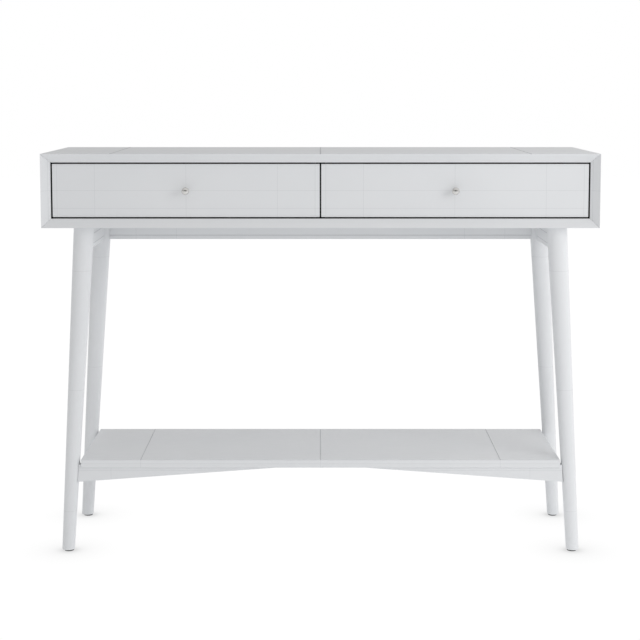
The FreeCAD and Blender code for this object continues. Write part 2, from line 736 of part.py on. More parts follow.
def build_drawer(side, slide_screws):
    """Make one drawer: its box, face, knob, dowels and screws."""
    sign = SIDES[side]
    middle = f"{sign}*bay_middle"
    knob_spot = ((f"{sign}*face_middle", "face_back + wall_thickness", "face_middle_z"), TO_BACK)
    knob_screw = pan_screw(f"{side}_knob_screw_master", "knob_screw_diameter",
                           "screw_head_diameter", "wall_thickness + face_thickness + knob_screw_bite")
    knob_screw = node(f"{side}_knob_screw", place(knob_screw, *knob_spot))
    build_knob(side, knob_screw)
    face_screw = pan_screw(f"{side}_face_screw", "screw_diameter", "screw_head_diameter",
                           "box_screw_length")
    name = f"{side}_face_screws"
    face_screws = node(name, copies(name, face_screw, face_screw_spots(side)))
    dowel = rod(f"{side}_box_dowel", "box_dowel_diameter/2", "box_dowel_length")
    name = f"{side}_box_dowels"
    dowels = node(name, copies(name, dowel, box_dowel_spots(side)))
    bottom = block(f"{side}_bottom", (f"{middle} - inner_width/2 - bottom_groove",
                                      "face_back + wall_thickness - bottom_groove",
                                      "drawer_bottom_z"),
                   ("inner_width + 2*bottom_groove",
                    "drawer_depth - 2*wall_thickness + 2*bottom_groove", "bottom_thickness"))
    node(f"{side}_drawer_bottom", bottom)
    face = block(f"{side}_face", (f"{sign}*face_middle - face_width/2", "face_front",
                                  "opening_floor + face_gap"),
                 ("face_width", "face_thickness", "face_height"))
    node(f"{side}_drawer_face", cut(face, knob_screw, face_screws))
    cross_wall = ("inner_width", "wall_thickness", "drawer_height")
    front = block(f"{side}_front_wall", (f"{middle} - inner_width/2", "face_back", "drawer_floor"),
                  cross_wall)
    node(f"{side}_drawer_front_wall", cut(front, bottom, dowels, face_screws, knob_screw))
    back = block(f"{side}_back_wall", (f"{middle} - inner_width/2",
                                       "face_back + drawer_depth - wall_thickness",
                                       "drawer_floor"), cross_wall)
    node(f"{side}_drawer_back_wall", cut(back, bottom, dowels))
    for hand, low_x in (("left", f"{middle} - box_width/2"),
                        ("right", f"{middle} + inner_width/2")):
        wall = block(f"{side}_{hand}_wall", (low_x, "face_back", "drawer_floor"),
                     ("wall_thickness", "drawer_depth", "drawer_height"))
        node(f"{side}_drawer_{hand}_wall", cut(wall, bottom, dowels, slide_screws[side]))


def build_table():
    """Build the whole table, from its fasteners to the pieces that they hold."""
    legs = build_legs()
    glides = build_glides()
    dowels = build_rail_dowels()
    leg_bolts, inserts = build_leg_fixings()
    rail_screws = build_rail_screws()
    for (side, row), leg in legs.items():
        node(f"{row}_{side}_leg", cut(leg, glides, dowels, inserts))
    for side in SIDES:
        build_side_rail(side, legs, dowels, rail_screws)
    build_back_rail(legs, dowels, rail_screws)
    build_shelf(legs, dowels)
    slide_screws = build_slides()
    build_case(leg_bolts, rail_screws, slide_screws["case"])
    for side in SIDES:
        build_drawer(side, slide_screws)


def check():
    """Stop if any object failed to build or any sub-part is not a sound solid."""
    for piece in doc.Objects:
        if "Invalid" in piece.State or "Error" in piece.State:
            raise RuntimeError(f"{piece.Name} failed to build: {piece.State}")
    labels = [piece.Label for piece in nodes]
    if len(set(labels)) < len(labels):
        raise RuntimeError("two sub-parts share a name")
    for piece in nodes:
        shape = piece.Shape
        if shape.isNull() or not shape.isValid() or not shape.Solids:
            raise RuntimeError(f"{piece.Label} is not a valid solid")


def write_parts():
    """Write each sub-part to its own file."""
    os.makedirs("parts", exist_ok=True)
    for piece in nodes:
        piece.Shape.exportStep(f"parts/{piece.Label}.step")
    print(f"wrote {len(nodes)} sub-parts")


fill_sheet()
build_table()
doc.recompute()
check()
write_parts()
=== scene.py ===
"""Looks of a console table: a painted case with two drawers on steel slides, legs and a shelf.

Every size is in metres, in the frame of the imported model: the floor is z = 0, the drawers open
towards -Y, and +X is to the right of somebody who faces them.
"""

import logging
import math
from collections.abc import Iterable, Sequence
from dataclasses import dataclass, replace
from enum import Enum

import bmesh
import bpy
from mathutils import Matrix, Vector

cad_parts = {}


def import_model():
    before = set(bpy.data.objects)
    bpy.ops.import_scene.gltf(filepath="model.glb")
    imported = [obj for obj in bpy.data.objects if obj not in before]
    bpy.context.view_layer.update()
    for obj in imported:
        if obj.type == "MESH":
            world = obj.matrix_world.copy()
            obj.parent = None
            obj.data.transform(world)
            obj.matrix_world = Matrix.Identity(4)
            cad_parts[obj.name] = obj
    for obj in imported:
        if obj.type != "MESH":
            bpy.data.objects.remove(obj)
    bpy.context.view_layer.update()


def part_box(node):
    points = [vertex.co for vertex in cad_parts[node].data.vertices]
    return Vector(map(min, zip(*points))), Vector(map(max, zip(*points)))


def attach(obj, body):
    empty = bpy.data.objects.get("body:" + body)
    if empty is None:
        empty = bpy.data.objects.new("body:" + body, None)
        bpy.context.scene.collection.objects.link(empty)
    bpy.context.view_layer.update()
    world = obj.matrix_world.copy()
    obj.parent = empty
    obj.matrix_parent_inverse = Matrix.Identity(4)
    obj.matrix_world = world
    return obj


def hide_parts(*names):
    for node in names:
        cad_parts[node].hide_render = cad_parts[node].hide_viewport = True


LOG = logging.getLogger("console_table")
MM = 0.001
MERGE = 0.01 * MM
SHARP = math.radians(35)
FLAT = math.radians(0.5)
FILLET_STEPS = 4
NOISE_LOW, NOISE_HIGH = 0.3, 0.7
MIX_FIRST, MIX_SECOND, MIX_RESULT = 6, 7, 2
NEARLY_WIDEST = 0.95
PLACE_DIGITS = 5
Color = tuple[float, float, float]
Input = float | Sequence[float] | bpy.types.NodeSocket


class Side(Enum):
    """The side of the table that a drawer or a leg is on."""

    LEFT = "left"
    RIGHT = "right"


class Grain(Enum):
    """The way that a board's grain runs, as how finely a pattern varies along X, Y and Z."""

    ALONG_X = (1.0, 18.0, 18.0)
    ALONG_Y = (18.0, 1.0, 18.0)
    ALONG_Z = (18.0, 18.0, 1.0)


class Axis(Enum):
    """A coordinate of the object."""

    X = 0
    Y = 1
    Z = 2


# Finishes


class Graph:
    """A node tree that is being put together."""

    def __init__(self, tree: bpy.types.NodeTree) -> None:
        """Start on a tree.

        Args:
            tree: The node tree of a material or of the world.
        """
        self.tree = tree

    def node(self, kind: str, inputs: dict[int | str, Input] | None = None,
             **settings: object) -> bpy.types.Node:
        """Add a node.

        Args:
            kind: The node's type name.
            inputs: A value or a socket for each input, by name or number.
            settings: The node's own properties.

        Returns:
            The new node.
        """
        node = self.tree.nodes.new(kind)
        for name, value in settings.items():
            setattr(node, name, value)
        for key, value in (inputs or {}).items():
            self.feed(node.inputs[key], value)
        return node

    def feed(self, target: bpy.types.NodeSocket, value: Input) -> None:
        """Link a socket to an input, or set the input's own value.

        Args:
            target: The input.
            value: The socket or the value that it gets.
        """
        if isinstance(value, bpy.types.NodeSocket):
            self.tree.links.new(value, target)
        else:
            target.default_value = value

    def math(self, operation: str, first: Input, second: Input = 0.0,
             third: Input = 0.0) -> bpy.types.NodeSocket:
        """Return the result of a Math node."""
        inputs = {0: first, 1: second, 2: third}
        return self.node("ShaderNodeMath", inputs, operation=operation).outputs[0]

    def distance(self, place: Input, point: Sequence[float]) -> bpy.types.NodeSocket:
        """Return how far a place is from a point."""
        node = self.node("ShaderNodeVectorMath", {0: place, 1: point}, operation="DISTANCE")
        return node.outputs["Value"]

    def ramp(self, factor: bpy.types.NodeSocket,
             stops: Sequence[tuple[float, Color]]) -> bpy.types.NodeSocket:
        """Return a colour that goes through the given stops.

        Args:
            factor: Where along the ramp each point is.
            stops: The position and colour of each stop, in order.

        Returns:
            The colour socket.
        """
        node = self.node("ShaderNodeValToRGB", {0: factor})
        elements = node.color_ramp.elements
        while len(elements) < len(stops):
            elements.new(1.0)
        for element, (position, color) in zip(elements, stops):
            element.position = position
            element.color = (*color, 1.0)
        return node.outputs["Color"]

    def mix(self, factor: Input, first: Input, second: Input) -> bpy.types.NodeSocket:
        """Return a blend of two colours."""
        inputs = {0: factor, MIX_FIRST: first, MIX_SECOND: second}
        return self.node("ShaderNodeMix", inputs, data_type="RGBA").outputs[MIX_RESULT]


class Surface(Graph):
    """A material on Object coordinates, under construction."""

    def __init__(self, name: str) -> None:
        """Make a material with a shader.

        Args:
            name: The material's name.
        """
        self.material = bpy.data.materials.new(name)
        self.material.use_nodes = True
        super().__init__(self.material.node_tree)
        self.shader = self.tree.nodes["Principled BSDF"]
        self.place = self.node("ShaderNodeTexCoord").outputs["Object"]
        self.axes = self.node("ShaderNodeSeparateXYZ", {0: self.place}).outputs

    def set(self, **inputs: Input) -> None:
        """Feed the shader's inputs, with underscores for the spaces in their names."""
        for name, value in inputs.items():
            self.feed(self.shader.inputs[name.replace("_", " ")], value)

    def noise(self, scale: float, stretch: Sequence[float] = (1.0, 1.0, 1.0), detail: float = 3.0,
              roughness: float = 0.55, warp: float = 0.0) -> bpy.types.NodeSocket:
        """Return a noise pattern.

        Args:
            scale: How many blotches there are to a metre.
            stretch: Further scale along X, Y and Z.
            detail: How many finer octaves are added.
            roughness: How strong the finer octaves are.
            warp: How much the pattern is distorted.

        Returns:
            A socket from 0 to 1.
        """
        mapped = self.node("ShaderNodeMapping", {"Vector": self.place, "Scale": stretch})
        node = self.node("ShaderNodeTexNoise", {"Vector": mapped.outputs[0], "Scale": scale,
                                                "Detail": detail, "Roughness": roughness,
                                                "Distortion": warp})
        return node.outputs["Fac"]

    def spread(self, factor: Input, low: float, high: float) -> bpy.types.NodeSocket:
        """Return a pattern stretched from the noise's usual range to between two values."""
        inputs = {"Value": factor, "From Min": NOISE_LOW, "From Max": NOISE_HIGH,
                  "To Min": low, "To Max": high}
        return self.node("ShaderNodeMapRange", inputs).outputs[0]

    def bump(self, *layers: tuple[bpy.types.NodeSocket, float, float]) -> None:
        """Raise the surface by patterns.

        Args:
            layers: The pattern, the strength and the greatest height of each, from the lowest up.
        """
        normal = None
        for height, strength, distance in layers:
            inputs = {"Height": height, "Strength": strength, "Distance": distance}
            if normal is not None:
                inputs["Normal"] = normal
            normal = self.node("ShaderNodeBump", inputs).outputs[0]
        self.set(Normal=normal)


@dataclass(frozen=True)
class Line:
    """A joint, or painted shade in a groove or along an edge, that shows as a darker line in paint,
    where a coordinate has a set value.

    Its place is measured either side of a centre, and X is measured from the table's middle
    outwards, so one line stands for its mirror images too.
    """

    axis: Axis
    at: float
    centre: float = 0.0
    half_width: float = 0.45 * MM
    strength: float = 0.16
    lowest: float = 0.0

    def mask(self, surface: Surface) -> bpy.types.NodeSocket:
        """Find where the line shows.

        Args:
            surface: The material that the line is on.

        Returns:
            The line's strength on it, and 0 away from it and below its lowest height.
        """
        outward = surface.math("ABSOLUTE", surface.axes[self.axis.value])
        away = surface.math("ABSOLUTE", surface.math("SUBTRACT", outward, self.centre))
        drawn = surface.math("COMPARE", away, self.at, self.half_width)
        high_enough = surface.math("GREATER_THAN", surface.axes[Axis.Z.value], self.lowest)
        shown = surface.math("MULTIPLY", drawn, high_enough)
        return surface.math("MULTIPLY", shown, self.strength)


@dataclass(frozen=True)
class Slab:
    """A box-shaped region, in distances from a centre line on each side of the table."""

    centre_x: float
    half_width: float
    front: float
    back: float
    centre_z: float
    half_height: float

    def mask(self, surface: Surface) -> bpy.types.NodeSocket:
        """Find what is in the region.

        Args:
            surface: The material that the region is marked on.

        Returns:
            1 inside the region and 0 outside.
        """
        outward = surface.math("ABSOLUTE", surface.axes[Axis.X.value])
        spans = ((outward, self.centre_x, self.half_width),
                 (surface.axes[Axis.Y.value], (self.front + self.back) / 2,
                  (self.back - self.front) / 2),
                 (surface.axes[Axis.Z.value], self.centre_z, self.half_height))
        inside = 1.0
        for place, centre, half in spans:
            away = surface.math("ABSOLUTE", surface.math("SUBTRACT", place, centre))
            inside = surface.math("MULTIPLY", inside, surface.math("LESS_THAN", away, half))
        return inside


@dataclass(frozen=True)
class SatinPaint:
    """Sprayed satin white paint: a soft orange peel, with the wood's grain just telling through."""

    color: Color = (0.792, 0.800, 0.812)
    shade: Color = (0.772, 0.782, 0.796)
    seam_and_shade_color: Color = (0.26, 0.27, 0.29)
    # Near-black painted shade for the gaps around the drawers.
    gap_shade_color: Color = (0.012, 0.013, 0.014)
    low_roughness: float = 0.41
    high_roughness: float = 0.55
    cloud_scale: float = 5.0
    rub_scale: float = 38.0
    peel_scale: float = 620.0
    peel_height: float = 0.12 * MM
    pore_scale: float = 26.0
    pore_height: float = 0.10 * MM

    def material(self, name: str, grain: Grain = Grain.ALONG_X, lines: Iterable[Line] = (),
                 gap_shade: Slab | None = None) -> bpy.types.Material:
        """Make the paint of one piece.

        Args:
            name: The material's name.
            grain: The way that the board's grain runs.
            lines: Hairline joints that show through, and lines of painted shade in grooves and
                along edges.
            gap_shade: The region around the drawers that is painted near black, as painted shade in
                the gaps.

        Returns:
            The material.
        """
        surface = Surface(name)
        cloud = surface.noise(self.cloud_scale, detail=2.0)
        color = surface.ramp(cloud, ((NOISE_LOW, self.shade), (NOISE_HIGH, self.color)))
        # Darker lines: some are dark joints, others are painted shade in grooves and along an edge.
        for line in lines:
            color = surface.mix(line.mask(surface), color, (*self.seam_and_shade_color, 1.0))
        # Painted shade: near-black paint over the region around the drawers stands in for the
        # shadow in the gaps.
        if gap_shade is not None:
            color = surface.mix(gap_shade.mask(surface), color, (*self.gap_shade_color, 1.0))
        rubbed = surface.noise(self.rub_scale, detail=4.0)
        peel = surface.noise(self.peel_scale, detail=2.0, roughness=0.4)
        pores = surface.noise(self.pore_scale, stretch=grain.value, detail=5.0, roughness=0.6,
                              warp=0.3)
        surface.set(Base_Color=color, IOR=1.47, Coat_Weight=0.05, Coat_Roughness=0.25,
                    Roughness=surface.spread(rubbed, self.low_roughness, self.high_roughness))
        surface.bump((peel, 0.10, self.peel_height), (pores, 0.14, self.pore_height))
        return surface.material


@dataclass(frozen=True)
class ClearWood:
    """Timber under thin lacquer or bare: drifting growth bands, fine streaks and short pores."""

    pale: Color
    middle: Color
    dark: Color
    low_roughness: float
    high_roughness: float
    pore_strength: float
    band_scale: float = 2.2
    streak_scale: float = 24.0
    streak_share: float = 0.35
    streak_height: float = 0.15 * MM
    pore_scale: float = 75.0
    pore_limit: float = 0.36
    pore_shade: float = 0.35
    pore_height: float = 0.12 * MM

    def material(self, name: str, grain: Grain) -> bpy.types.Material:
        """Make the wood of one piece.

        Args:
            name: The material's name.
            grain: The way that the grain runs.

        Returns:
            The material.
        """
        surface = Surface(name)
        bands = surface.noise(self.band_scale, stretch=grain.value, detail=3.0, warp=0.9)
        streaks = surface.noise(self.streak_scale, stretch=grain.value, detail=6.0, roughness=0.7)
        pores = surface.noise(self.pore_scale, stretch=grain.value, detail=2.0, roughness=0.5)
        drift = surface.math("ADD", surface.math("MULTIPLY", bands, 1.0 - self.streak_share),
                             surface.math("MULTIPLY", streaks, self.streak_share))
        color = surface.ramp(drift, ((0.34, self.dark), (0.48, self.middle), (0.66, self.pale)))
        pitted = surface.math("LESS_THAN", pores, self.pore_limit)
        shaded = surface.math("MULTIPLY", pitted, self.pore_shade)
        color = surface.mix(shaded, color, (*self.dark, 1.0))
        surface.set(Base_Color=color, IOR=1.5,
                    Roughness=surface.spread(streaks, self.low_roughness, self.high_roughness))
        surface.bump((streaks, 0.12, self.streak_height),
                     (pores, self.pore_strength, self.pore_height))
        return surface.material


@dataclass(frozen=True)
class Metal:
    """A bare or plated metal with faint cloudiness and directional marks."""

    color: Color
    cloud: Color
    low_roughness: float
    high_roughness: float
    mark_scale: float
    mark_strength: float
    anisotropy: float = 0.0
    cloud_scale: float = 60.0
    mark_height: float = 0.03 * MM

    def material(self, name: str, grain: Grain = Grain.ALONG_Y) -> bpy.types.Material:
        """Make the metal of one piece.

        Args:
            name: The material's name.
            grain: The way that its fine marks run.

        Returns:
            The material.
        """
        surface = Surface(name)
        clouds = surface.noise(self.cloud_scale, detail=4.0, warp=0.4)
        marks = surface.noise(self.mark_scale, stretch=grain.value, detail=4.0, roughness=0.7)
        color = surface.ramp(clouds, ((0.32, self.cloud), (0.62, self.color)))
        surface.set(Base_Color=color, Metallic=1.0, Anisotropic=self.anisotropy,
                    Roughness=surface.spread(marks, self.low_roughness, self.high_roughness))
        surface.bump((marks, self.mark_strength, self.mark_height))
        return surface.material


@dataclass(frozen=True)
class MouldedPlastic:
    """Moulded plastic with a fine spark-eroded texture."""

    color: Color
    scuff: Color
    low_roughness: float = 0.45
    high_roughness: float = 0.62
    texture_scale: float = 1500.0
    texture_height: float = 0.05 * MM
    scuff_scale: float = 90.0

    def material(self, name: str) -> bpy.types.Material:
        """Make the plastic of one piece.

        Args:
            name: The material's name.

        Returns:
            The material.
        """
        surface = Surface(name)
        texture = surface.noise(self.texture_scale, detail=2.0)
        scuffs = surface.noise(self.scuff_scale, detail=5.0, roughness=0.7)
        color = surface.ramp(scuffs, ((0.35, self.color), (0.72, self.scuff)))
        surface.set(Base_Color=color, IOR=1.46,
                    Roughness=surface.spread(scuffs, self.low_roughness, self.high_roughness))
        surface.bump((texture, 0.3, self.texture_height))
        return surface.material


PAINT = SatinPaint()
BIRCH = ClearWood(pale=(0.80, 0.66, 0.46), middle=(0.71, 0.55, 0.36), dark=(0.56, 0.40, 0.24),
                  low_roughness=0.34, high_roughness=0.5, pore_strength=0.1)
BEECH = ClearWood(pale=(0.72, 0.53, 0.35), middle=(0.63, 0.44, 0.28), dark=(0.48, 0.31, 0.18),
                  low_roughness=0.55, high_roughness=0.75, pore_strength=0.3)
NICKEL = Metal(color=(0.74, 0.73, 0.71), cloud=(0.69, 0.68, 0.66), low_roughness=0.05,
               high_roughness=0.12, mark_scale=300.0, mark_strength=0.05)
ZINC = Metal(color=(0.66, 0.67, 0.69), cloud=(0.55, 0.57, 0.60), low_roughness=0.26,
             high_roughness=0.44, mark_scale=120.0, mark_strength=0.25, anisotropy=0.35)
STEEL_BALL = Metal(color=(0.70, 0.70, 0.71), cloud=(0.62, 0.62, 0.63), low_roughness=0.08,
                   high_roughness=0.16, mark_scale=500.0, mark_strength=0.05)
BRASS = Metal(color=(0.74, 0.58, 0.30), cloud=(0.62, 0.47, 0.24), low_roughness=0.22,
              high_roughness=0.36, mark_scale=200.0, mark_strength=0.2)
GLIDE_PLASTIC = MouldedPlastic(color=(0.035, 0.036, 0.040), scuff=(0.075, 0.076, 0.08))
CAGE_PLASTIC = MouldedPlastic(color=(0.74, 0.72, 0.66), scuff=(0.66, 0.64, 0.58))


# Shapes


@dataclass(frozen=True)
class Dress:
    """What a piece wears: its material, with the name of the record's slot that it comes from,
    which nothing here applies.
    """

    material: bpy.types.Material
    slot: str


@dataclass(frozen=True)
class Island:
    """One separate solid of a CAD node that is longer than it is wide, such as a screw."""

    low: Vector
    high: Vector
    head: Vector
    way: Vector

    @property
    def length(self) -> float:
        """Its length along its axis."""
        return abs((self.high - self.low).dot(self.way))

    def matrix(self) -> Matrix:
        """Return the placing that puts the origin at the end of the head, with Z out of it."""
        turn = self.way.to_track_quat("Z", "Y").to_matrix().to_4x4()
        return Matrix.Translation(self.head) @ turn


class Shape:
    """A mesh that is being modelled."""

    def __init__(self) -> None:
        """Start with nothing."""
        self.bm = bmesh.new()

    @classmethod
    def of_nodes(cls, *names: str) -> "Shape":
        """Start with merged copies of CAD nodes, with their flat faces made whole.

        Args:
            names: The nodes.

        Returns:
            The new shape.
        """
        shape = cls()
        for name in names:
            shape.bm.from_mesh(bpy.data.objects[name].data)
        bmesh.ops.remove_doubles(shape.bm, verts=shape.bm.verts, dist=MERGE)
        bmesh.ops.dissolve_limit(shape.bm, angle_limit=FLAT, verts=shape.bm.verts,
                                 edges=shape.bm.edges)
        bmesh.ops.connect_verts_concave(shape.bm, faces=shape.bm.faces)
        return shape

    def add(self, other: "Shape", matrix: Matrix) -> "Shape":
        """Add a copy of another shape.

        Args:
            other: The shape to copy.
            matrix: Where the copy goes.

        Returns:
            This shape.
        """
        mesh = bpy.data.meshes.new("copy")
        other.bm.to_mesh(mesh)
        mesh.transform(matrix)
        self.bm.from_mesh(mesh)
        bpy.data.meshes.remove(mesh)
        return self

    def soften(self, width: float, segments: int = 3, least: float = 6 * MM) -> "Shape":
        """Round the outward edges.

        Args:
            width: How far the rounding reaches onto each face.
            segments: How many facets it has.
            least: The shortest edge that is rounded, which leaves small holes alone.

        Returns:
            This shape.
        """
        def is_open(edge: bmesh.types.BMEdge) -> bool:
            """Return whether an edge turns outwards, with room for the rounding on both faces."""
            length = edge.calc_length()
            room = min((face.calc_area() for face in edge.link_faces), default=0.0)
            return (len(edge.link_faces) == 2 and edge.calc_face_angle_signed(0.0) > SHARP
                    and length > least and room > 2 * width * length)

        edges = [edge for edge in self.bm.edges if is_open(edge)]
        made = bmesh.ops.bevel(self.bm, geom=edges, offset=width, segments=segments, profile=0.5,
                               affect="EDGES", material=-1, clamp_overlap=False)
        for face in made["faces"]:
            face.smooth = True
        return self.crease()

    def smooth(self, angle: float = SHARP) -> "Shape":
        """Shade all faces smoothly except across sharp edges.

        Args:
            angle: The least angle of a sharp edge.

        Returns:
            This shape.
        """
        for face in self.bm.faces:
            face.smooth = True
        return self.crease(angle)

    def crease(self, angle: float = SHARP) -> "Shape":
        """Keep the shading crisp across sharp edges.

        Args:
            angle: The least angle of a sharp edge.

        Returns:
            This shape.
        """
        for edge in self.bm.edges:
            edge.smooth = edge.calc_face_angle(math.pi) < angle
        return self

    def turn(self, profile: Sequence[tuple[float, float]], steps: int = 48,
             rounding: float = 0.0) -> "Shape":
        """Turn a profile about Z into a closed solid.

        Args:
            profile: The radius and height of each corner, from axis to axis.
            steps: How many segments a turn has.
            rounding: How much the profile's corners are rounded.

        Returns:
            This shape.
        """
        verts = [self.bm.verts.new((radius, 0.0, height)) for radius, height in profile]
        for pair in zip(verts, verts[1:]):
            self.bm.edges.new(pair)
        if rounding:
            bmesh.ops.bevel(self.bm, geom=verts[1:-1], offset=rounding, segments=FILLET_STEPS,
                            profile=0.5, affect="VERTICES", material=-1, clamp_overlap=True)
        return self.revolve(steps)

    def revolve(self, steps: int) -> "Shape":
        """Spin everything drawn so far about Z, all the way round.

        Args:
            steps: How many segments a turn has.

        Returns:
            This shape.
        """
        geometry = [*self.bm.verts, *self.bm.edges]
        bmesh.ops.spin(self.bm, geom=geometry, cent=(0, 0, 0), axis=(0, 0, 1), angle=math.tau,
                       steps=steps, use_merge=True)
        bmesh.ops.remove_doubles(self.bm, verts=self.bm.verts, dist=MERGE / 10)
        bmesh.ops.recalc_face_normals(self.bm, faces=self.bm.faces)
        return self

    def carve(self, cutter: "Shape") -> "Shape":
        """Cut another shape out of this one.

        Args:
            cutter: The shape that is cut away.

        Returns:
            This shape.
        """
        body, tool = (bpy.data.objects.new("carving", bpy.data.meshes.new("carving"))
                      for _ in range(2))
        self.bm.to_mesh(body.data)
        cutter.bm.to_mesh(tool.data)
        for helper in (body, tool):
            bpy.context.scene.collection.objects.link(helper)
        modifier = body.modifiers.new("carve", "BOOLEAN")
        modifier.object = tool
        modifier.solver = "EXACT"
        modifier.use_self = True
        evaluated = body.evaluated_get(bpy.context.evaluated_depsgraph_get())
        carved = bpy.data.meshes.new_from_object(evaluated)
        self.bm.clear()
        self.bm.from_mesh(carved)
        for mesh in (body.data, tool.data, carved):
            bpy.data.meshes.remove(mesh)
        return self

    def piece(self, name: str, dress: Dress, body: str, *nodes: str) -> bpy.types.Object:
        """Make an object of the shape, in place of CAD nodes.

        Args:
            name: The object's name.
            dress: What it wears.
            body: The CAD body that it rides on.
            nodes: The CAD nodes that it stands for.

        Returns:
            The new object.
        """
        mesh = bpy.data.meshes.new(name)
        self.bm.to_mesh(mesh)
        self.bm.free()
        old_shading = mesh.attributes.get("custom_normal")
        if old_shading:
            mesh.attributes.remove(old_shading)
        mesh.materials.append(dress.material)
        thing = bpy.data.objects.new(name, mesh)
        bpy.context.scene.collection.objects.link(thing)
        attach(thing, body)
        if nodes:
            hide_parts(*nodes)
        LOG.info("%s: %d faces on %s", name, len(mesh.polygons), body)
        return thing


def islands(node: str) -> list[Island]:
    """Return the separate solids of a CAD node, each with the end where it is widest.

    Args:
        node: The node, whose solids are each turned about an axis along X, Y or Z.

    Returns:
        The solids, in order of place.
    """
    whole = Shape.of_nodes(node)
    left = set(whole.bm.verts)
    found = []
    while left:
        reached, fresh = set(), {left.pop()}
        while fresh:
            reached |= fresh
            fresh = {edge.other_vert(vert) for vert in fresh for edge in vert.link_edges} - reached
        left -= reached
        places = [vert.co.copy() for vert in reached]
        low = Vector([min(place[i] for place in places) for i in range(3)])
        high = Vector([max(place[i] for place in places) for i in range(3)])
        middle = (low + high) / 2
        axis = max(range(3), key=lambda i: high[i] - low[i])
        across = [math.dist([place[i] for i in range(3) if i != axis],
                            [middle[i] for i in range(3) if i != axis]) for place in places]
        widest = NEARLY_WIDEST * max(across)
        wide = [place[axis] for place, reach in zip(places, across) if reach > widest]
        sign = 1 if sum(wide) / len(wide) > middle[axis] else -1
        way = Vector([sign if i == axis else 0 for i in range(3)])
        head = middle.copy()
        head[axis] = high[axis] if sign > 0 else low[axis]
        found.append(Island(low, high, head, way))
    whole.bm.free()
    return sorted(found, key=lambda island: tuple(round(x, PLACE_DIGITS) for x in island.head))


def painted(name: str, grain: Grain = Grain.ALONG_X, lines: Iterable[Line] = (),
            gap_shade: Slab | None = None) -> Dress:
    """Return the dress of a painted piece, whose paint takes the same arguments."""
    return Dress(PAINT.material(name, grain, lines, gap_shade), "painted_wood")


def board(node: str, edge: float, dress: Dress, body: str = "frame", ending: str = "board") -> None:
    """Build a CAD node anew, with rounded edges and a finish.

    Args:
        node: The node, which the new object is named after.
        edge: How far the rounding reaches onto each face.
        dress: What the object wears.
        body: The CAD body that it rides on.
        ending: The last word of its name.
    """
    Shape.of_nodes(node).soften(edge).piece(f"{node}_{ending}", dress, body, node)


def dress_node(node: str, material: bpy.types.Material) -> None:
    """Give a CAD node that stays as it is its finish.

    Args:
        node: The node.
        material: Its finish.
    """
    thing = bpy.data.objects[node]
    if not thing.material_slots:
        thing.data.materials.append(material)
    for slot in thing.material_slots:
        slot.material = material
    LOG.info("%s: kept, in %s", node, material.name)


@dataclass(frozen=True)
class PanScrew:
    """A pan-head screw with a crossed recess and a threaded shank.

    The dome is in shares of the head's radius and height, a thread's flank in shares of the pitch
    and the tip in shares of the shank's diameter.
    """

    head_diameter: float
    head_height: float
    shank_diameter: float
    recess_length: float
    recess_width: float
    recess_depth: float
    thread_pitch: float = 1.6 * MM
    thread_depth: float = 0.35 * MM
    flank: float = 0.35
    tip: float = 0.6
    dome: tuple[tuple[float, float], ...] = (
        (0.0, 0.0), (0.55, 0.04), (0.85, 0.3), (1.0, 0.75), (1.0, 1.0))
    steps: int = 24

    def shape(self, length: float) -> Shape:
        """Make one screw with the top of its head at the origin.

        Args:
            length: From the top of the head to the end of the shank.

        Returns:
            The shape, along -Z.
        """
        radius, shank = self.head_diameter / 2, self.shank_diameter / 2
        head, root = self.head_height, self.shank_diameter / 2 - self.thread_depth
        profile = [(out * radius, -down * head) for out, down in self.dome] + [(shank, -head)]
        turns = int((length - head - self.shank_diameter) / self.thread_pitch)
        for turn in range(1, turns):
            crest = -head - turn * self.thread_pitch
            profile += [(root, crest + self.flank * self.thread_pitch), (shank, crest)]
        profile += [(root, -length + self.tip * self.shank_diameter), (0.0, -length)]
        screw = Shape().turn(profile, self.steps)
        cutter = Shape()
        for size in ((self.recess_length, self.recess_width),
                     (self.recess_width, self.recess_length)):
            bmesh.ops.create_cube(cutter.bm, size=1.0, matrix=Matrix.Diagonal(
                (*size, 2 * self.recess_depth, 1.0)))
        return screw.carve(cutter).smooth()

    def fit(self, name: str, node: str, dress: Dress, body: str) -> None:
        """Put a screw at each solid of a CAD node and hide the node.

        Args:
            name: The new object's name.
            node: The node of plain screws.
            dress: What the screws wear.
            body: The body that they ride on.
        """
        places = islands(node)
        screw = self.shape(places[0].length)
        screws = Shape()
        for island in places:
            screws.add(screw, island.matrix())
        screw.bm.free()
        screws.piece(name, dress, body, node)


SLIDE_SCREW = PanScrew(head_diameter=6.5 * MM, head_height=1.5 * MM, shank_diameter=3.5 * MM,
                       recess_length=3.8 * MM, recess_width=0.9 * MM, recess_depth=0.9 * MM,
                       thread_pitch=1.3 * MM)
FACE_SCREW = PanScrew(head_diameter=8 * MM, head_height=1.5 * MM, shank_diameter=4 * MM,
                      recess_length=4.6 * MM, recess_width=1.1 * MM, recess_depth=1.0 * MM)


# The table's sub-assemblies


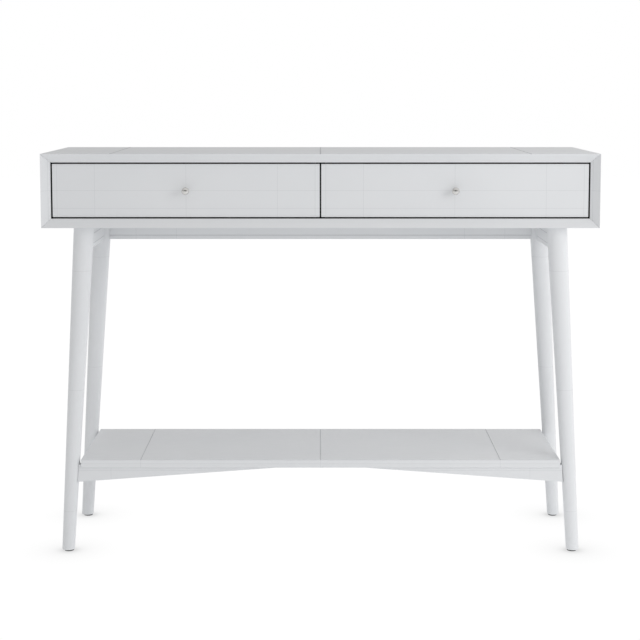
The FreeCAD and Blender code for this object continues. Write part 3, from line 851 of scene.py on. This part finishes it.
@dataclass
class Case:
    """The mitred case: four bevelled panels, a divider, a back and what joins them."""

    edge: float = 0.7 * MM
    thin_edge: float = 0.4 * MM
    panel: float = 20 * MM
    bevel: float = 18 * MM
    # The case's opening is painted near black from just in front of the drawer faces to behind
    # them, as painted shade in the gaps; the divider's front gets a narrower band of the same
    # painted shade.
    gap_shade_start: float = 0.5 * MM
    gap_shade_depth: float = 19.5 * MM
    seams: tuple[float, ...] = (458 * MM, 0.0)
    seam_half_width: float = 1.0 * MM
    seam_strength: float = 0.8
    bevel_line: float = 5.7 * MM
    skin: float = 0.5 * MM
    divider_shade_reach: float = 2 * MM

    def gap_shade(self) -> Slab:
        """Find the part of the case's opening that is painted near black around the drawer faces,
        as painted shade in the gaps.

        Returns:
            The region, which reaches a skin's depth into the panels.
        """
        low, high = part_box("case_top")
        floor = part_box("case_bottom")[0].z
        front = low.y + self.bevel
        return Slab(centre_x=0.0, half_width=high.x - self.panel + self.skin,
                    front=front - self.gap_shade_start, back=front + self.gap_shade_depth,
                    centre_z=(floor + high.z) / 2,
                    half_height=(high.z - floor) / 2 - self.panel + self.skin)

    def build(self) -> None:
        """Build and dress every piece of the case."""
        gap_shade = self.gap_shade()
        middle = Line(Axis.Z, 0.0, centre=gap_shade.centre_z)
        inner = Line(Axis.X, gap_shade.half_width - self.skin + self.bevel_line)
        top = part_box("case_top")[1].z - self.edge
        seams = [Line(Axis.X, at, half_width=self.seam_half_width, strength=self.seam_strength,
                      lowest=top) for at in self.seams]
        dresses = {
            "case_top": painted("paint_case_top", lines=seams, gap_shade=gap_shade),
            "case_bottom": painted("paint_case_bottom", gap_shade=gap_shade),
            "case_left_side": painted("paint_case_side", Grain.ALONG_Z, (middle, inner), gap_shade),
        }
        dresses["case_right_side"] = dresses["case_left_side"]
        for node, dress in dresses.items():
            board(node, self.edge, dress)
        # Painted shade: a near-black band on the divider's front edge stands in for the shadow in
        # the gap between the drawer faces.
        divider_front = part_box("case_divider")[0].y
        front = replace(gap_shade, front=divider_front - self.divider_shade_reach,
                        back=divider_front + self.divider_shade_reach)
        board("case_divider", self.thin_edge, painted("paint_case_divider", gap_shade=front))
        board("case_back", self.thin_edge, painted("paint_case_back"))
        dress_node("mitre_splines", BEECH.material("beech_splines", Grain.ALONG_Y))
        dress_node("back_screws", ZINC.material("zinc_back_screws"))


@dataclass
class Base:
    """The four legs, their glides, the rails under the case and what holds them."""

    top_diameter: float = 45 * MM
    foot_diameter: float = 28 * MM
    foot_chamfer: float = 1.4 * MM
    leg_steps: int = 96
    leg_rings: tuple[float, ...] = (0.635, 0.368, 0.092)
    rail_edge: float = 0.6 * MM
    rail_lines: tuple[float, ...] = (0.345, 0.4415)
    # Heights of the rails' bead grooves, along which shade is painted as dark lines.
    shaded_beads: tuple[float, ...] = (9.4 * MM, 31.4 * MM)
    bead_shade_half_width: float = 0.6 * MM
    bead_shade_strength: float = 0.5
    glide_diameter: float = 22 * MM
    glide_height: float = 3 * MM
    glide_draft: float = 1 * MM
    glide_widest: float = 0.8
    glide_lip: float = 0.3 * MM
    glide_rounding: float = 0.5 * MM
    pin_diameter: float = 5 * MM
    pin_length: float = 18 * MM
    pin_straight: float = 0.85
    pin_tip: float = 0.4

    def leg(self, side: Side, row: str, dress: Dress) -> None:
        """Build one leg: a round taper that leans outwards between two level ends.

        Args:
            side: The side of the table that the leg is on.
            row: front or back.
            dress: What it wears.
        """
        node = f"{row}_{side.value}_leg"
        low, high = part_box(node)
        inner_x, outer_x = (high.x, low.x) if side is Side.LEFT else (low.x, high.x)
        sign = -1 if side is Side.LEFT else 1
        top_x = inner_x + sign * self.top_diameter / 2
        foot_x = outer_x - sign * (self.foot_diameter / 2 - self.foot_chamfer)
        height = high.z - low.z
        leg = Shape()
        bmesh.ops.create_cone(leg.bm, cap_ends=True, cap_tris=False, segments=self.leg_steps,
                              radius1=self.foot_diameter / 2, radius2=self.top_diameter / 2,
                              depth=height)
        foot = [edge for edge in leg.bm.edges if all(vert.co.z < 0 for vert in edge.verts)]
        bmesh.ops.bevel(leg.bm, geom=foot, offset=self.foot_chamfer, segments=FILLET_STEPS,
                        profile=0.5, affect="EDGES", material=-1, clamp_overlap=True)
        lean = Matrix.Identity(4)
        lean[0][2] = (top_x - foot_x) / height
        middle = Vector(((top_x + foot_x) / 2, (low.y + high.y) / 2, (low.z + high.z) / 2))
        bmesh.ops.transform(leg.bm, matrix=Matrix.Translation(middle) @ lean, verts=leg.bm.verts)
        leg.smooth().piece(f"{node}_turned", dress, "frame", node)

    def glides(self) -> None:
        """Build the four moulded glides with their pins."""
        radius, pin = self.glide_diameter / 2, self.pin_diameter / 2
        top = self.glide_height
        tip = top + self.pin_length
        profile = [(0.0, 0.0), (radius - self.glide_draft, 0.0), (radius, self.glide_widest * top),
                   (radius - self.glide_lip, top), (pin, top),
                   (pin, top + self.pin_straight * self.pin_length), (self.pin_tip * pin, tip),
                   (0.0, tip)]
        glide = Shape().turn(profile, rounding=self.glide_rounding).smooth()
        glides = Shape()
        for island in islands("foot_glides"):
            middle = (island.low + island.high) / 2
            glides.add(glide, Matrix.Translation((middle.x, middle.y, island.low.z)))
        glide.bm.free()
        dress = Dress(GLIDE_PLASTIC.material("plastic_glides"), "glide_plastic")
        glides.piece("foot_glides_moulded", dress, "frame", "foot_glides")

    def build(self) -> None:
        """Build and dress every piece of the base."""
        rings = [Line(Axis.Z, level) for level in self.leg_rings]
        leg_dress = painted("paint_legs", Grain.ALONG_Z, rings)
        for side in Side:
            for row in ("front", "back"):
                self.leg(side, row, leg_dress)
        self.glides()
        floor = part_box("back_rail")[0].z
        # Painted shade: dark lines along the bead grooves of the rails stand in for the shade in
        # them.
        shaded_beads = [Line(Axis.Z, floor + rise, half_width=self.bead_shade_half_width,
                      strength=self.bead_shade_strength) for rise in self.shaded_beads]
        side_dress = painted("paint_side_rails", Grain.ALONG_Y, shaded_beads)
        for node in ("left_side_rail", "right_side_rail"):
            board(node, self.rail_edge, side_dress)
        # Dark joints across the back rail, and painted shade along its lower bead.
        joint_and_shade_lines = [Line(Axis.X, at) for at in self.rail_lines] + shaded_beads[:1]
        board("back_rail", self.rail_edge, painted("paint_back_rail", lines=joint_and_shade_lines))
        dress_node("rail_dowels", BEECH.material("beech_dowels", Grain.ALONG_Y))
        dress_node("leg_inserts", BRASS.material("brass_inserts", Grain.ALONG_Z))
        dress_node("leg_bolts", ZINC.material("zinc_leg_bolts"))
        dress_node("rail_screws", ZINC.material("zinc_rail_screws"))


@dataclass
class Shelf:
    """The low shelf, the arched rails that carry it, and its blocks and screws."""

    edge: float = 0.7 * MM
    rail_edge: float = 0.7 * MM
    seams: tuple[float, ...] = (0.402, 0.0)
    seam_half_width: float = 0.8 * MM
    seam_strength: float = 0.4
    edge_line: float = 201 * MM
    rail_joint: float = 469 * MM
    rail_bead: float = 184.7 * MM

    def build(self) -> None:
        """Build and dress every piece of the shelf."""
        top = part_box("shelf")[1].z - self.edge
        joint_and_shade_lines = [Line(Axis.X, at, half_width=self.seam_half_width, strength=self.seam_strength,
                       lowest=top) for at in self.seams]
        joint_and_shade_lines += [Line(Axis.X, at) for at in self.seams]
        # Painted shade: the line at top darkens the rounding under the shelf's top edge; the one at
        # mid-thickness is a seam.
        joint_and_shade_lines += [Line(Axis.Z, level) for level in (self.edge_line, top)]
        board("shelf", self.edge, painted("paint_shelf", lines=joint_and_shade_lines))
        lines = (Line(Axis.X, self.rail_joint), Line(Axis.Z, self.rail_bead))
        rail_dress = painted("paint_shelf_rails", lines=lines)
        for node in ("shelf_front_rail", "shelf_back_rail"):
            board(node, self.rail_edge, rail_dress)
        board("shelf_blocks", self.rail_edge, painted("paint_shelf_blocks"), ending="glued")
        dress_node("shelf_screws", ZINC.material("zinc_shelf_screws"))


@dataclass
class Slides:
    """The pair of ball-bearing slides of one drawer."""

    side: Side
    steel: Dress
    edge: float = 0.45 * MM
    long_edge: float = 20 * MM
    cage_edge: float = 0.3 * MM
    facets: int = 2
    ball_diameter: float = 3.1 * MM
    ball_pitch: float = 10 * MM

    def member(self, kind: str, body: str) -> None:
        """Build one kind of channel for both slides.

        Args:
            kind: case, middle or drawer.
            body: The body that it rides on.
        """
        node = f"{self.side.value}_{kind}_slides"
        Shape.of_nodes(node).soften(self.edge, self.facets, self.long_edge).piece(
            f"{node}_pressed", self.steel, body, node)

    def balls(self) -> None:
        """Build the steel balls that run in the cages."""
        body = f"{self.side.value}_slide_middle"
        ball = Shape()
        bmesh.ops.create_icosphere(ball.bm, subdivisions=2, radius=self.ball_diameter / 2)
        balls = Shape()
        for island in islands(f"{self.side.value}_ball_cages"):
            middle = (island.low + island.high) / 2
            reach = island.high.y - island.low.y - self.ball_pitch
            count = int(reach / self.ball_pitch) + 1
            for index in range(count):
                y = middle.y + (index - (count - 1) / 2) * self.ball_pitch
                balls.add(ball, Matrix.Translation((middle.x, y, middle.z)))
        ball.bm.free()
        dress = Dress(STEEL_BALL.material(f"steel_{self.side.value}_balls"), "slide_steel")
        balls.smooth(math.pi).piece(f"{self.side.value}_slide_balls", dress, body)

    def build(self) -> None:
        """Build and dress both slides."""
        name = self.side.value
        self.member("case", "frame")
        self.member("drawer", f"{name}_drawer")
        self.member("middle", f"{name}_slide_middle")
        cage_dress = Dress(CAGE_PLASTIC.material(f"plastic_{name}_cages"), "cage_plastic")
        node = f"{name}_ball_cages"
        Shape.of_nodes(node).soften(self.cage_edge, self.facets).piece(
            f"{node}_moulded", cage_dress, f"{name}_slide_middle", node)
        self.balls()
        screw_dress = Dress(ZINC.material(f"zinc_{name}_slide_screws"), "steel_fixing")
        node = f"{name}_drawer_slide_screws"
        SLIDE_SCREW.fit(f"{node}_turned", node, screw_dress, f"{name}_drawer")


@dataclass
class Drawer:
    """One drawer: its box, face, knob, dowels and screws."""

    side: Side
    face_edge: float = 0.8 * MM
    wall_edge: float = 1.2 * MM
    bottom_edge: float = 0.3 * MM
    lines_across: tuple[float, ...] = (0.0, 200 * MM, 282.5 * MM)
    lines_up: tuple[float, ...] = (0.0, 54.6 * MM)
    low_line: float = 39 * MM
    knob_base: float = 12 * MM
    knob_base_height: float = 2.5 * MM
    knob_neck: float = 7 * MM
    knob_head: float = 17 * MM
    knob_head_length: float = 13 * MM
    knob_steps: int = 96
    knob_arc_steps: int = 40
    knob_fillet: float = 0.7 * MM
    knob_fillet_steps: int = 5

    @property
    def body(self) -> str:
        """The CAD body that the drawer rides on."""
        return f"{self.side.value}_drawer"

    def face(self) -> None:
        """Build the painted face."""
        node = f"{self.side.value}_drawer_face"
        low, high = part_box(node)
        middle = (low + high) / 2
        lines = [Line(Axis.X, at, centre=abs(middle.x)) for at in self.lines_across]
        lines += [Line(Axis.Z, at, centre=middle.z) for at in self.lines_up]
        lines.append(Line(Axis.Z, 0.0, centre=middle.z - self.low_line))
        board(node, self.face_edge, painted(f"paint_{node}", lines=lines), self.body)

    def box(self) -> None:
        """Build the box's walls and its thin bottom."""
        name = self.side.value
        along = Dress(BIRCH.material(f"birch_{name}_sides", Grain.ALONG_Y), "drawer_wood")
        across = Dress(BIRCH.material(f"birch_{name}_ends", Grain.ALONG_X), "drawer_wood")
        walls = {"left": along, "right": along, "front": across, "back": across}
        for wall, dress in walls.items():
            board(f"{name}_drawer_{wall}_wall", self.wall_edge, dress, self.body)
        board(f"{name}_drawer_bottom", self.bottom_edge, across, self.body, "panel")
        dress_node(f"{name}_box_dowels", BEECH.material(f"beech_{name}_box_dowels", Grain.ALONG_X))

    def knob(self) -> None:
        """Build the polished knob: a flat foot, a slim neck and a rounded head."""
        node = f"{self.side.value}_knob"
        low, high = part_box(node)
        half = self.knob_head_length / 2
        length = high.y - low.y
        knob = Shape()
        tip = knob.bm.verts.new((0.0, 0.0, length))
        sweep = math.pi - math.asin(self.knob_neck / self.knob_head)
        made = bmesh.ops.spin(knob.bm, geom=[tip], cent=(0.0, 0.0, length - half),
                              axis=(0.0, 1.0, 0.0), angle=sweep, steps=self.knob_arc_steps,
                              use_merge=False)
        bmesh.ops.scale(knob.bm, vec=(self.knob_head / self.knob_head_length, 1.0, 1.0),
                        verts=knob.bm.verts)
        last = [item for item in made["geom_last"] if isinstance(item, bmesh.types.BMVert)][0]
        corners = [(self.knob_neck / 2, self.knob_base_height),
                   (self.knob_base / 2, self.knob_base_height), (self.knob_base / 2, 0.0),
                   (0.0, 0.0)]
        verts = [knob.bm.verts.new((radius, 0.0, height)) for radius, height in corners]
        for pair in zip([last, *verts], verts):
            knob.bm.edges.new(pair)
        bmesh.ops.bevel(knob.bm, geom=[last, *verts[:-1]], offset=self.knob_fillet,
                        segments=self.knob_fillet_steps, profile=0.5, affect="VERTICES",
                        material=-1, clamp_overlap=True)
        knob.revolve(self.knob_steps)
        middle = (low + high) / 2
        place = Matrix.Translation((middle.x, high.y, middle.z))
        bmesh.ops.transform(knob.bm, matrix=place @ Matrix.Rotation(math.pi / 2, 4, "X"),
                            verts=knob.bm.verts)
        dress = Dress(NICKEL.material(f"nickel_{node}", Grain.ALONG_Z), "knob_nickel")
        knob.smooth().piece(f"{node}_polished", dress, self.body, node)

    def build(self) -> None:
        """Build and dress the whole drawer."""
        name = self.side.value
        self.face()
        self.box()
        self.knob()
        dress = Dress(ZINC.material(f"zinc_{name}_drawer_screws"), "steel_fixing")
        for node in (f"{name}_face_screws", f"{name}_knob_screw"):
            FACE_SCREW.fit(f"{node}_turned", node, dress, self.body)


# The studio


@dataclass(frozen=True)
class Glow:
    """A soft patch on the studio's walls or ceiling, either of light or of dark."""

    toward: tuple[float, float, float]
    tightness: float
    strength: float


@dataclass(frozen=True)
class Softbox:
    """A square softbox that is aimed at the table."""

    name: str
    place: tuple[float, float, float]
    size: float
    power: float


@dataclass
class Studio:
    """The camera, the light and the white floor."""

    eye: tuple[float, float, float] = (-0.001, -3.5352, 1.0385)
    tilt: float = math.radians(90 - 5.533)
    lens: float = 86.72
    shift: float = -0.13
    floor_reach: float = 14.0
    foot_shadow: tuple[tuple[float, float], ...] = ((0.018, 0.28), (0.038, 0.08), (0.10, 0.06))
    floor_white: float = 1.02
    floor_bounce: float = 0.215
    aim: tuple[float, float, float] = (0.2, 0.0, 0.45)
    floor_color: Color = (0.86, 0.87, 0.88)
    glows: tuple[Glow, ...] = (
        Glow((1.0, 0.0, 0.0), 3.0, 0.55), Glow((-1.0, 0.0, 0.0), 3.0, 0.37),
        Glow((0.0, 0.0, 1.0), 3.0, 0.407), Glow((0.75, 0.66, 0.0), 6.0, 1.1),
        Glow((0.0, -0.8, 0.6), 6.0, 0.47))
    dark_spot: Glow = Glow((0.0, -1.0, 0.04), 24.0, 1.0)
    softboxes: tuple[Softbox, ...] = (Softbox("softbox_front", (1.7, -1.6, 1.3), 1.1, 10.6),)

    def camera(self) -> None:
        """Set up the camera."""
        data = bpy.data.cameras.new("camera")
        data.lens = self.lens
        data.shift_y = self.shift
        camera = bpy.data.objects.new("camera", data)
        camera.location = self.eye
        camera.rotation_euler = (self.tilt, 0.0, 0.0)
        bpy.context.scene.collection.objects.link(camera)
        bpy.context.scene.camera = camera

    def world(self) -> None:
        """Fill the studio with soft light, and put a dark spot in front that only reflections show.

        The camera sees plain white there, so the background is blank.
        """
        world = bpy.data.worlds.new("studio")
        bpy.context.scene.world = world
        world.use_nodes = True
        graph = Graph(world.node_tree)
        background = world.node_tree.nodes["Background"]
        background.inputs["Color"].default_value = (1.0, 1.0, 1.0, 1.0)
        direction = graph.node("ShaderNodeTexCoord").outputs["Generated"]

        def share(glow: Glow) -> bpy.types.NodeSocket:
            """Find how strong a patch is in each direction.

            Args:
                glow: The patch.

            Returns:
                1 at its middle, falling to 0 on the far side.
            """
            facing = graph.node("ShaderNodeVectorMath", {0: direction, 1: glow.toward},
                                operation="DOT_PRODUCT").outputs["Value"]
            nearness = graph.math("MULTIPLY_ADD", facing, 0.5, 0.5)
            return graph.math("POWER", nearness, glow.tightness)

        light = 0.0
        for glow in self.glows:
            light = graph.math("MULTIPLY_ADD", share(glow), glow.strength, light)
        rays = graph.node("ShaderNodeLightPath").outputs
        spot = graph.math("MULTIPLY", share(self.dark_spot), self.dark_spot.strength)
        spot = graph.math("MULTIPLY", spot, rays["Is Glossy Ray"])
        light = graph.math("MULTIPLY", light, graph.math("SUBTRACT", 1.0, spot))
        seen = graph.math("MAXIMUM", light, rays["Is Camera Ray"])
        graph.feed(background.inputs["Strength"], seen)

    def floor(self) -> None:
        """Lay a white floor with a soft shadow where each foot stands."""
        surface = Surface("studio_floor")
        bounce = surface.node("ShaderNodeBsdfDiffuse", {"Color": (*self.floor_color, 1.0)})
        feet = [(island.low + island.high) / 2 for island in islands("foot_glides")]
        shade = self.floor_white
        for foot in feet:
            away = surface.distance(surface.place, (foot.x, foot.y, 0.0))
            for reach, depth in self.foot_shadow:
                ratio = surface.math("DIVIDE", away, reach)
                fall = surface.math("EXPONENT", surface.math(
                    "MULTIPLY", surface.math("MULTIPLY", ratio, ratio), -1.0))
                shade = surface.math("SUBTRACT", shade, surface.math("MULTIPLY", fall, depth))
        glow = surface.node("ShaderNodeEmission", {"Strength": shade})
        lift = surface.node("ShaderNodeEmission", {"Strength": self.floor_bounce})
        bounce = surface.node("ShaderNodeAddShader", {0: bounce.outputs[0], 1: lift.outputs[0]})
        seen = surface.node("ShaderNodeLightPath").outputs["Is Camera Ray"]
        shaders = {0: seen, 1: bounce.outputs[0], 2: glow.outputs[0]}
        mixed = surface.node("ShaderNodeMixShader", shaders)
        output = surface.tree.nodes["Material Output"]
        surface.tree.links.new(mixed.outputs[0], output.inputs["Surface"])
        floor = Shape()
        bmesh.ops.create_grid(floor.bm, x_segments=1, y_segments=1, size=self.floor_reach)
        mesh = bpy.data.meshes.new("studio_floor")
        floor.bm.to_mesh(mesh)
        floor.bm.free()
        mesh.materials.append(surface.material)
        thing = bpy.data.objects.new("studio_floor", mesh)
        bpy.context.scene.collection.objects.link(thing)

    def hang(self, softbox: Softbox) -> None:
        """Hang a softbox, out of sight of reflections.

        Args:
            softbox: The softbox.
        """
        data = bpy.data.lights.new(softbox.name, "AREA")
        data.shape = "SQUARE"
        data.size = softbox.size
        data.energy = softbox.power
        light = bpy.data.objects.new(softbox.name, data)
        light.location = softbox.place
        aim = Vector(self.aim) - Vector(softbox.place)
        light.rotation_euler = aim.to_track_quat("-Z", "Y").to_euler()
        light.visible_glossy = False
        bpy.context.scene.collection.objects.link(light)

    def build(self) -> None:
        """Set up the whole studio."""
        bpy.context.scene.view_settings.view_transform = "Standard"
        self.camera()
        self.world()
        self.floor()
        for softbox in self.softboxes:
            self.hang(softbox)


def main() -> None:
    """Load the frame, then build the table and the studio around it."""
    logging.basicConfig(level=logging.INFO, format="%(message)s")
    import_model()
    Case().build()
    Base().build()
    Shelf().build()
    fixings = Dress(ZINC.material("zinc_case_slide_screws"), "steel_fixing")
    SLIDE_SCREW.fit("case_slide_screws_turned", "case_slide_screws", fixings, "frame")
    steel = Dress(ZINC.material("zinc_slides"), "slide_steel")
    for side in Side:
        Slides(side, steel).build()
        Drawer(side).build()
    Studio().build()


if __name__ == "__main__":
    main()
